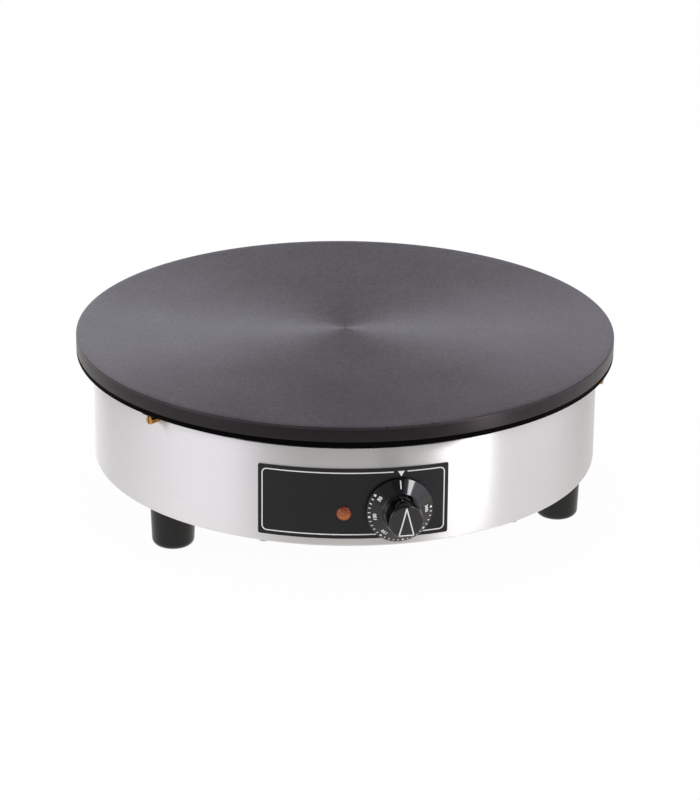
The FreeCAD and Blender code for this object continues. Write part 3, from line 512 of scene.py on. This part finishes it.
# Side screws: three turned brass screws with slotted heads and plain washers. They pass through
# notches in the casing's top edge into the plate's lugs, and can be loosened to level the plate.
def cut(piece, cutter_bm):
    """Cuts closed meshes out of a piece for good."""
    cutter_mesh = bpy.data.meshes.new("cutter")
    bmesh.ops.recalc_face_normals(cutter_bm, faces=cutter_bm.faces)
    cutter_bm.to_mesh(cutter_mesh)
    cutter_bm.free()
    cutter = bpy.data.objects.new("cutter", cutter_mesh)
    bpy.context.scene.collection.objects.link(cutter)
    modifier = piece.modifiers.new("cut", "BOOLEAN")
    modifier.operation = "DIFFERENCE"
    modifier.solver = "EXACT"
    modifier.object = cutter
    bpy.context.view_layer.update()
    whole = piece.evaluated_get(bpy.context.evaluated_depsgraph_get())
    result = bpy.data.meshes.new_from_object(whole)
    piece.modifiers.clear()
    piece.data = result
    bpy.data.objects.remove(cutter)
    result.polygons.foreach_set("use_smooth", [True] * len(result.polygons))
    result.set_sharp_from_angle(angle=math.radians(30.0))


def turned_metal(name, dark, light, roughness, mark_size, grain_size):
    """Bare metal with fine machining marks and a slight unevenness of tone and polish, both in mm."""
    material, tree, output = new_material(name)
    place = add_node(tree, "ShaderNodeTexCoord").outputs["Object"]
    grain = noise(tree, place, grain_size, 3.0, 0.6)
    marks = noise(tree, place, mark_size, 2.0, 0.5)
    colour = blend_colours(tree, ranged(tree, grain, 0.35, 0.65), dark, light)
    bump = add_node(tree, "ShaderNodeBump", {"Height": marks, "Strength": 0.1, "Distance": 0.05 * MM})
    surface = add_node(tree, "ShaderNodeBsdfPrincipled",
                       {"Base Color": colour, "Metallic": 1.0,
                        "Roughness": ranged(tree, grain, 0.3, 0.7, roughness - 0.06, roughness + 0.06),
                        "Normal": bump.outputs[0]})
    tree.links.new(surface.outputs[0], output.inputs["Surface"])
    return material


brass = turned_metal("machined_brass", "A8783A", "C79A58", 0.28, 0.2, 3.33)
screw_height = 106.8
washer_face = 188.3
head_length = 8.0
head_radius = 3.2
head_round = 0.5
shank_length = 16.3
shank_radius = 2.5
shank_round = 0.4
slot_size = (1.0, 9.0, 3.2)
tip = washer_face - shank_length
bm = bmesh.new()
slots = bmesh.new()
for angle in screw_angles:
    screw = lathe(bm, rounded([(0, 0), (shank_radius, 0, shank_round), (shank_radius, shank_length),
                               (head_radius, shank_length),
                               (head_radius, shank_length + head_length, head_round),
                               (0, shank_length + head_length)]), steps=40)
    lay_outward(bm, screw, angle, tip, screw_height)
    slot = bevelled_box(slots, slot_size, (0, 0, shank_length + head_length), 0)
    lay_outward(slots, slot, angle, tip, screw_height)
screws = make_piece("side_screws", bm, APPLIANCE, brass)
cut(screws, slots)
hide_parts("plate_screws")


# Casing: a band of brushed stainless steel rolled to 375 mm across and welded at the back, its bottom
# edge bent in to a flange. It is brushed along its length, which stretches every reflection upright.
def brushed_stainless():
    """Stainless steel with streaks that run a third of a radian round the casing. They are drawn
    0.19 mm high, coarser than the real grain, so that they show."""
    material, tree, output = new_material("brushed_stainless_steel")
    place, radius, height, across = groove_frame(tree)
    parts = add_node(tree, "ShaderNodeSeparateXYZ", {0: place})
    turn_angle = add_node(tree, "ShaderNodeMath", {0: parts.outputs["X"], 1: parts.outputs["Y"]},
                          operation="ARCTAN2")
    streak_place = add_node(tree, "ShaderNodeCombineXYZ", {"X": turn_angle.outputs[0], "Y": height,
                                                           "Z": radius})
    streak_height = 0.192
    streak_sweep = 0.333
    squeezed = add_node(tree, "ShaderNodeVectorMath", {0: streak_place.outputs[0],
                                                       1: (streak_height * MM / streak_sweep, 1.0, 1.0)},
                        operation="MULTIPLY")
    streaks = noise(tree, squeezed.outputs[0], streak_height, 3.0, 0.6)
    clouds = noise(tree, place, 111.0, 2.0, 0.5)
    colour = blend_colours(tree, ranged(tree, streaks, 0.3, 0.7), "DEDCDB", "E6E5E4")
    streaked = ranged(tree, streaks, 0.3, 0.7, 0.40, 0.44)
    cloudy = ranged(tree, clouds, 0.3, 0.7, -0.01, 0.02)
    rough = add_node(tree, "ShaderNodeMath", {0: streaked, 1: cloudy}, operation="ADD")
    bump = add_node(tree, "ShaderNodeBump", {"Height": streaks, "Strength": 0.08, "Distance": 0.03 * MM})
    surface = add_node(tree, "ShaderNodeBsdfPrincipled",
                       {"Base Color": colour, "Metallic": 1.0, "Roughness": rough.outputs[0],
                        "Anisotropic": 1.0, "Tangent": across, "Normal": bump.outputs[0]})
    tree.links.new(surface.outputs[0], output.inputs["Surface"])
    return material


def drill(bm, distance, radius, angle, height, steps=48):
    """Adds a short drill that goes through a wall, at a distance from the middle in mm."""
    bit = lathe(bm, [(0, -cut_depth / 2), (radius, -cut_depth / 2), (radius, cut_depth / 2),
                     (0, cut_depth / 2)], steps)
    lay_outward(bm, bit, angle, distance, height)


casing_radius = 187.5
casing_wall = 1.2
casing_low = 31.5
casing_high = 106.5
casing_bend = 2.4
flange_radius = 176.0
sheared_edge = 0.2
inner = casing_radius - casing_wall
notch_width = 5.6
notch_height = 10.0
cut_depth = 8.0
dial_height = 59.5
lamp_height = 57.8
gland_height = 58.0
# Holes in the wall: radius, angle from the front and height.
shaft_hole = (6.0, 0, dial_height)
lamp_hole = (4.3, -11.9, lamp_height)
gland_hole = (10.1, 180, gland_height)

stainless = brushed_stainless()
bm = bmesh.new()
lathe(bm, rounded([
    (inner, casing_high, 0.25),
    (inner, casing_low + casing_wall, casing_bend - casing_wall),
    (flange_radius, casing_low + casing_wall, sheared_edge),
    (flange_radius, casing_low, sheared_edge),
    (casing_radius, casing_low, casing_bend),
    (casing_radius, casing_high, 0.35),
], 4), steps=256, closed=True)
casing = make_piece("casing_band", bm, APPLIANCE, stainless)
cutters = bmesh.new()
for angle in screw_angles:
    notch = bevelled_box(cutters, (notch_width, cut_depth, notch_height),
                         (0, -inner, screw_height + notch_height / 2), 0)
    turn_to(cutters, notch, angle)
    drill(cutters, inner, notch_width / 2, angle, screw_height, 32)
for hole in (shaft_hole, lamp_hole, gland_hole):
    drill(cutters, inner, *hole)
cut(casing, cutters)
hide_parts("casing_shell")


# Feet: three moulded black plastic feet, slightly tapered with a well-rounded tread. Each is held by a
# screw in a recess from below.
foot_plastic = moulded_finish("black_foot_plastic", "040505", "070808", 0.30, 0.4, 0.10)
foot_angles = (-60, 60, 180)
foot_circle = 166.5
foot_radius = 16.5
tread_radius = 15.3
tread_round = 5.2
screw_hole = 3.3
recess_radius = 6.0
recess_depth = 12.0
bm = bmesh.new()
for angle in foot_angles:
    foot = lathe(bm, rounded([(screw_hole, recess_depth), (recess_radius, recess_depth, 0.3),
                              (recess_radius, 0, 0.8), (tread_radius, 0, tread_round),
                              (foot_radius, casing_low, 0.4), (screw_hole, casing_low)], 8),
                 steps=72, closed=True)
    bmesh.ops.translate(bm, vec=(0, -foot_circle * MM, 0), verts=foot)
    turn_to(bm, foot, angle)
feet = make_piece("moulded_feet", bm, APPLIANCE, foot_plastic)
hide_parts("feet")


# Control panel: a printed film stuck on the casing, satin black with a white outline and an index over
# the dial. The maker's word and its disc are left bare.
def panel_film():
    """Reverse-printed polyester film with a fine satin texture."""
    material, tree, output = new_material("satin_black_film")
    place = add_node(tree, "ShaderNodeTexCoord").outputs["Object"]
    grain = noise(tree, place, 0.286, 2.0, 0.6)
    clouds = noise(tree, place, 33.3, 2.0, 0.5)
    colour = blend_colours(tree, ranged(tree, clouds, 0.3, 0.7), "06060C", "0A0A11")
    bump = add_node(tree, "ShaderNodeBump", {"Height": grain, "Strength": 0.08, "Distance": 0.05 * MM})
    surface = add_node(tree, "ShaderNodeBsdfPrincipled",
                       {"Base Color": colour, "Roughness": ranged(tree, grain, 0.3, 0.7, 0.40, 0.50),
                        "IOR": 1.38, "Normal": bump.outputs[0]})
    tree.links.new(surface.outputs[0], output.inputs["Surface"])
    return material


def white_ink():
    """Screen-printed white ink, slightly uneven in cover."""
    material, tree, output = new_material("white_screen_ink")
    place = add_node(tree, "ShaderNodeTexCoord").outputs["Object"]
    cover = noise(tree, place, 0.556, 2.0, 0.5)
    colour = blend_colours(tree, ranged(tree, cover, 0.3, 0.7), "DADADC", "F2F2F2")
    surface = add_node(tree, "ShaderNodeBsdfPrincipled",
                       {"Base Color": colour, "Roughness": ranged(tree, cover, 0.3, 0.7, 0.45, 0.55)})
    tree.links.new(surface.outputs[0], output.inputs["Surface"])
    return material


def on_cylinder(arc, height, radius):
    """Point in metres at an arc length in mm from the dial's line, towards +X, on a cylinder."""
    bearing = arc / casing_radius
    return Vector((radius * math.sin(bearing), -radius * math.cos(bearing), height)) * MM


def ribbon(bm, path, width, place):
    """Flat band of a width in mm along a path of (x, y) points, put on the surface by place(x, y)."""
    rows = []
    for i, point in enumerate(path):
        here = Vector(point)
        ahead = Vector(path[min(i + 1, len(path) - 1)])
        behind = Vector(path[max(i - 1, 0)])
        side = (ahead - behind).normalized().orthogonal() * (width / 2)
        rows.append([bm.verts.new(place(*(here + side))), bm.verts.new(place(*(here - side)))])
    for near, far in zip(rows, rows[1:]):
        bm.faces.new((near[0], near[1], far[1], far[0]))


def divided(start, end, step):
    """Points from a start towards an end, the end left out, no further apart than a step."""
    start, end = Vector(start), Vector(end)
    count = max(1, math.ceil((end - start).length / step))
    return [start.lerp(end, i / count) for i in range(count)]


panel_low = 38.2
panel_high = 91.2
panel_left = -100.45
panel_right = 36.05
panel_corner = 1.2
corner_steps = 5
arc_step = 3.0
film_radius = 188.2
film_thickness = 0.6


def panel_span(arc):
    """Lowest and highest point of the film at an arc length, inside its rounded corners."""
    near = max(0.0, panel_corner - min(arc - panel_left, panel_right - arc))
    lift = panel_corner - math.sqrt(max(0.0, panel_corner ** 2 - near ** 2))
    return panel_low + lift, panel_high - lift


arcs = [panel_left + panel_corner * k / corner_steps for k in range(corner_steps)]
arcs += [p.x for p in divided((panel_left + panel_corner, 0), (panel_right - panel_corner, 0), arc_step)]
arcs += [panel_right - panel_corner * k / corner_steps for k in range(corner_steps, -1, -1)]
film_back = film_radius - film_thickness
bm = bmesh.new()
loops = []
for arc in arcs:
    low, high = panel_span(arc)
    section = ((film_back, low), (film_radius, low), (film_radius, high), (film_back, high))
    loops.append([bm.verts.new(on_cylinder(arc, z, r)) for r, z in section])
for near, far in zip(loops, loops[1:]):
    for k in range(4):
        bm.faces.new((near[k], near[(k + 1) % 4], far[(k + 1) % 4], far[k]))
bm.faces.new(loops[0])
bm.faces.new(loops[-1])
panel = make_piece("printed_panel", bm, APPLIANCE, panel_film())
cutters = bmesh.new()
for hole in (shaft_hole, lamp_hole):
    drill(cutters, film_radius, *hole)
cut(panel, cutters)
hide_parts("control_panel")

ink = white_ink()
ink_lift = 0.03
line_width = 0.8
line_inset = 3.1
line_corner = 3.4
gap_left = -4.2
gap_right = 5.6
index_middle = 1.2
index_half = 2.5
index_rise = 0.5
index_drop = 3.6
print_radius = film_radius + ink_lift
left_line = panel_left + line_inset
right_line = panel_right - line_inset
low_line = panel_low + line_inset
high_line = panel_high - line_inset


def stepped(corners, step):
    """Points along a line of corners, no further apart than a step, both ends kept."""
    made = []
    for start, end in zip(corners, corners[1:]):
        made += divided(start, end, step)
    return made + [Vector(corners[-1])]


outline = rounded([(gap_right, high_line), (right_line, high_line, line_corner),
                   (right_line, low_line, line_corner), (left_line, low_line, line_corner),
                   (left_line, high_line, line_corner), (gap_left, high_line)], 8)
index = ((index_middle - index_half, high_line + index_rise),
         (index_middle + index_half, high_line + index_rise), (index_middle, high_line - index_drop))
bm = bmesh.new()
ribbon(bm, stepped(outline, arc_step), line_width, lambda x, y: on_cylinder(x, y, print_radius))
bm.faces.new([bm.verts.new(on_cylinder(x, y, print_radius)) for x, y in index])
make_piece("panel_print", bm, APPLIANCE, ink)


# Pilot lamp: an amber lens moulded with a faceted crown, pushed through the panel. It is off, so it
# shows its own colour over the dark barrel behind it.
def amber_lens():
    """Translucent amber acrylic with painted shade: its colour deepens towards the top, where less light
    comes up, mottled by a swirl.
    """
    material, tree, output = new_material("amber_acrylic")
    place = add_node(tree, "ShaderNodeTexCoord").outputs["Object"]
    parts = add_node(tree, "ShaderNodeSeparateXYZ", {0: place})
    rise = ranged(tree, parts.outputs["Z"], (lamp_height - lens_shade_below) * MM,
                  (lamp_height + lens_shade_above) * MM)
    swirl = noise(tree, place, 1.43, 2.0, 0.5)
    painted_top_shade = add_node(tree, "ShaderNodeMath", {0: rise, 1: swirl}, operation="MULTIPLY")
    # Painted shade: light amber at the bottom grows to dark brown at the top.
    colour = blend_colours(tree, ranged(tree, painted_top_shade.outputs[0], 0.1, 0.5), "C4662A", "782B0C")
    surface = add_node(tree, "ShaderNodeBsdfPrincipled",
                       {"Base Color": colour, "Roughness": 0.18, "IOR": 1.49,
                        "Transmission Weight": 0.25, "Subsurface Weight": 0.1, "Subsurface Scale": 2 * MM})
    tree.links.new(surface.outputs[0], output.inputs["Surface"])
    return material


lamp_angle = -11.92
# Heights in mm below and above the lamp's middle over which the painted shade grows.
lens_shade_below = 4.3
lens_shade_above = 4.7
barrel_length = 22.0
barrel_radius = 4.0
lens_radius = 5.0
lens_rim = 1.3
facets = 12
crown_outline = [(4.2, 1.5), (3.0, 2.25), (1.4, 2.6), (0, 2.0)]
bm = bmesh.new()
flange = lathe(bm, rounded([(0, -barrel_length), (barrel_radius, -barrel_length, 0.4), (barrel_radius, 0),
                            (lens_radius, 0, 0.15), (lens_radius, lens_rim, 0.4), (4.4, lens_rim),
                            crown_outline[0]]), steps=48)
crown = lathe(bm, crown_outline, steps=facets)
lay_outward(bm, flange + crown, lamp_angle, film_radius, lamp_height)
lamp = make_piece("pilot_lens", bm, APPLIANCE, amber_lens(), sharp=12.0)
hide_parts("pilot_lamp")


# Dial: a glossy black phenolic knob with a thin rim, a conical skirt and a round grip, pushed on the
# thermostat's shaft. Its scale, numbers and pointer are printed in white and turn with it.
DIAL = "dial"
knob_back = 188.7
knob_depth = 24.0
knob_wall = 2.2
dial_radius = 24.0
rim_height = 1.5
cone_rise = 5.45
grip_base = 14.0
grip_front = 12.3
dome_radius = 6.0
dome_drop = 0.15
face_drop = 0.8
hollow_radius = 10.1
hollow_front = knob_depth - 4.4
hub_radius = 6.0
shaft_radius = 3.05
shaft_depth = 15.5
phenolic = moulded_finish("glossy_black_phenolic", "020202", "030304", 0.08, 0.833, 0.01, coat=0.4)
bm = bmesh.new()
knob = lathe(bm, rounded([
    (0, knob_depth),
    (dome_radius, knob_depth - dome_drop),
    (grip_front, knob_depth - face_drop, 1.3),
    (grip_base, rim_height + cone_rise, 1.2),
    (dial_radius, rim_height, 0.5),
    (dial_radius, 0, 0.3),
    (dial_radius - knob_wall, 0, 0.3),
    (hollow_radius, rim_height + cone_rise - knob_wall / 2, 0.8),
    (hollow_radius, hollow_front),
    (hub_radius, hollow_front),
    (hub_radius, 0, 0.3),
    (shaft_radius, 0),
    (shaft_radius, shaft_depth),
    (0, shaft_depth),
]), steps=128)
lay_outward(bm, knob, 0, knob_back, dial_height)
dial = make_piece("dial_knob", bm, DIAL, phenolic)
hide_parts("knob")

slope = math.atan2(cone_rise, dial_radius - grip_base)


def on_cone(angle, outward, sideways):
    """Point in metres just over the dial's cone: degrees anticlockwise from the top as seen from the
    front, distance from the axis in mm, and distance sideways, clockwise, in mm."""
    rise = rim_height + (dial_radius - outward) * math.tan(slope) + ink_lift
    bearing = math.radians(angle) - sideways / outward
    return Vector((-outward * math.sin(bearing), -(knob_back + rise),
                   dial_height + outward * math.cos(bearing))) * MM


def stamp(bm, text, angle, outward, size):
    """White figures on the cone with their tops outwards."""
    curve = bpy.data.curves.new("figures", "FONT")
    curve.body = text
    curve.size = size
    curve.align_x = "CENTER"
    curve.align_y = "CENTER"
    curve.offset = size * figure_weight
    holder = bpy.data.objects.new("figures", curve)
    bpy.context.scene.collection.objects.link(holder)
    bpy.context.view_layer.update()
    flat = bpy.data.meshes.new_from_object(holder.evaluated_get(bpy.context.evaluated_depsgraph_get()))
    old = set(bm.verts)
    bm.from_mesh(flat)
    for vert in [v for v in bm.verts if v not in old]:
        vert.co = on_cone(angle, outward + vert.co.y * math.cos(slope), vert.co.x)
    bpy.data.objects.remove(holder)
    bpy.data.curves.remove(curve)
    bpy.data.meshes.remove(flat)


def dot(bm, angle, outward, radius, corners=16):
    """Round dot on the cone."""
    turns = [2 * math.pi * k / corners for k in range(corners)]
    bm.faces.new([bm.verts.new(on_cone(angle, outward + radius * math.cos(turn), radius * math.sin(turn)))
                  for turn in turns])


# Zero line, and a mark every ten degrees Celsius from 50 to 300, with a dot and figures every fifty.
first_mark = 54.0
mark_pitch = 8.8
zero_line = [(0, 17.6), (0, 22.9)]
zero_width = 0.85
tick = [(0, 21.5), (0, 23.1)]
tick_width = 0.65
dot_circle = 22.3
dot_radius = 0.85
figure_circle = 18.6
figure_size = 3.6
figure_weight = 0.035
bm = bmesh.new()
ribbon(bm, zero_line, zero_width, lambda x, y: on_cone(0, y, x))
for step, celsius in enumerate(range(50, 301, 10)):
    angle = first_mark + mark_pitch * step
    if celsius % 50 == 0:
        dot(bm, angle, dot_circle, dot_radius)
        stamp(bm, str(celsius), angle, figure_circle, figure_size)
    else:
        ribbon(bm, tick, tick_width, lambda x, y: on_cone(angle, y, x))


def on_face(x, y):
    """Point in metres just over the grip's domed face, from the axis in mm."""
    away = math.hypot(x, y)
    drop = dome_drop * away / dome_radius
    if away > dome_radius:
        drop = dome_drop + (face_drop - dome_drop) * (away - dome_radius) / (grip_front - dome_radius)
    return Vector((x, -(knob_back + knob_depth - drop + ink_lift), dial_height + y)) * MM


pointer = [(0, 10.4), (5.3, -10.0), (-5.3, -10.0), (0, 10.4)]
pointer_step = 1.5
pointer_width = 0.9
ribbon(bm, stepped(pointer, pointer_step), pointer_width, on_face)
make_piece("dial_print", bm, DIAL, ink)


# Cable gland: a black polyamide gland at the back, where the mains cable enters. Its collar and tail
# are plain, and the nut is moulded with grip flutes and a tapered nose.
gland_plastic = moulded_finish("black_polyamide", "08090A", "0D0D0E", 0.42, 0.667, 0.12)
gland_seat = casing_radius + 5.2
nut_radius = 12.0
nut_grip = 12.0
nut_length = 17.0
nose_radius = 9.0
nut_hollow = 8.3
cable_hole = 6.0
cap_start = 14.0
flutes = 12
flute_depth = 0.035
flute_low = 0.8
flute_high = 11.6
bm = bmesh.new()
nut = lathe(bm, rounded([(nut_hollow, 0), (nut_radius, 0, 0.5), (nut_radius, nut_grip, 1.0),
                         (nose_radius, nut_length, 0.8), (cable_hole, nut_length, 0.3),
                         (cable_hole, cap_start), (nut_hollow, cap_start)]), steps=120, closed=True)
for vert in nut:
    on_grip = math.hypot(vert.co.x, vert.co.y) > (nut_radius - 0.8) * MM
    if on_grip and flute_low * MM < vert.co.z < flute_high * MM:
        bearing = math.atan2(vert.co.y, vert.co.x)
        press = 1 - flute_depth * max(0.0, math.cos(flutes * bearing)) ** 2
        vert.co.x *= press
        vert.co.y *= press
lay_outward(bm, nut, 180, gland_seat, gland_height)
gland_nut = make_piece("gland_nut_moulded", bm, APPLIANCE, gland_plastic)
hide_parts("gland_nut")


# Pieces that keep their machined form: sheet, bar and turned parts under and inside the casing. Each
# gets the finish that its own stock has.
def wear_finish(material, *names):
    """Gives the named CAD pieces one material."""
    for name in names:
        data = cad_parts[name].data
        data.materials.clear()
        data.materials.append(material)


zinc = turned_metal("zinc_plated_steel", "9DA0A1", "B4B6B5", 0.34, 0.4, 11.1)
bright_sheet = turned_metal("aluminised_sheet", "AFAFAC", "C6C6C3", 0.30, 0.556, 16.7)
sheath = turned_metal("heat_darkened_sheath", "3E3A36", "5A5149", 0.45, 0.667, 8.33)
copper = turned_metal("drawn_copper", "A8643F", "C07E58", 0.30, 0.333, 5.0)
fibre = moulded_finish("pressed_mineral_fibre", "C9C5B8", "DEDACE", 0.9, 1.67, 0.6)
steatite = moulded_finish("unglazed_steatite", "D6D2C8", "E6E3DB", 0.7, 1.11, 0.2)
switch_plastic = moulded_finish("brown_black_phenolic", "17120F", "201A16", 0.4, 0.833, 0.1)
silicone = moulded_finish("red_brown_silicone_sleeve", "6E2E1F", "7F3828", 0.55, 0.667, 0.25)
rubber = moulded_finish("black_seal_rubber", "0B0B0B", "111111", 0.6, 0.833, 0.2)

wear_finish(stainless, "plate_screw_washers")
wear_finish(zinc, "base_pan", "base_rivets", "foot_screws", "foot_nuts", "element_clamps", "clamp_studs",
            "clamp_nuts", "tray_posts", "thermostat_bracket", "thermostat_screws", "thermostat_shaft",
            "lamp_clip")
wear_finish(bright_sheet, "reflector_tray", "bulb_clip")
wear_finish(sheath, "heating_element")
wear_finish(copper, "capillary_bulb")
wear_finish(fibre, "insulation_blanket")
wear_finish(steatite, "terminal_block")
wear_finish(switch_plastic, "thermostat_body")
wear_finish(brass, "lamp_pins", "earth_stud", "earth_nut")
wear_finish(silicone, "live_lead", "switched_lead", "neutral_lead")
wear_finish(rubber, "gland_seal")
wear_finish(gland_plastic, "cable_gland", "gland_locknut")

bpy.context.scene.view_settings.view_transform = "Standard"
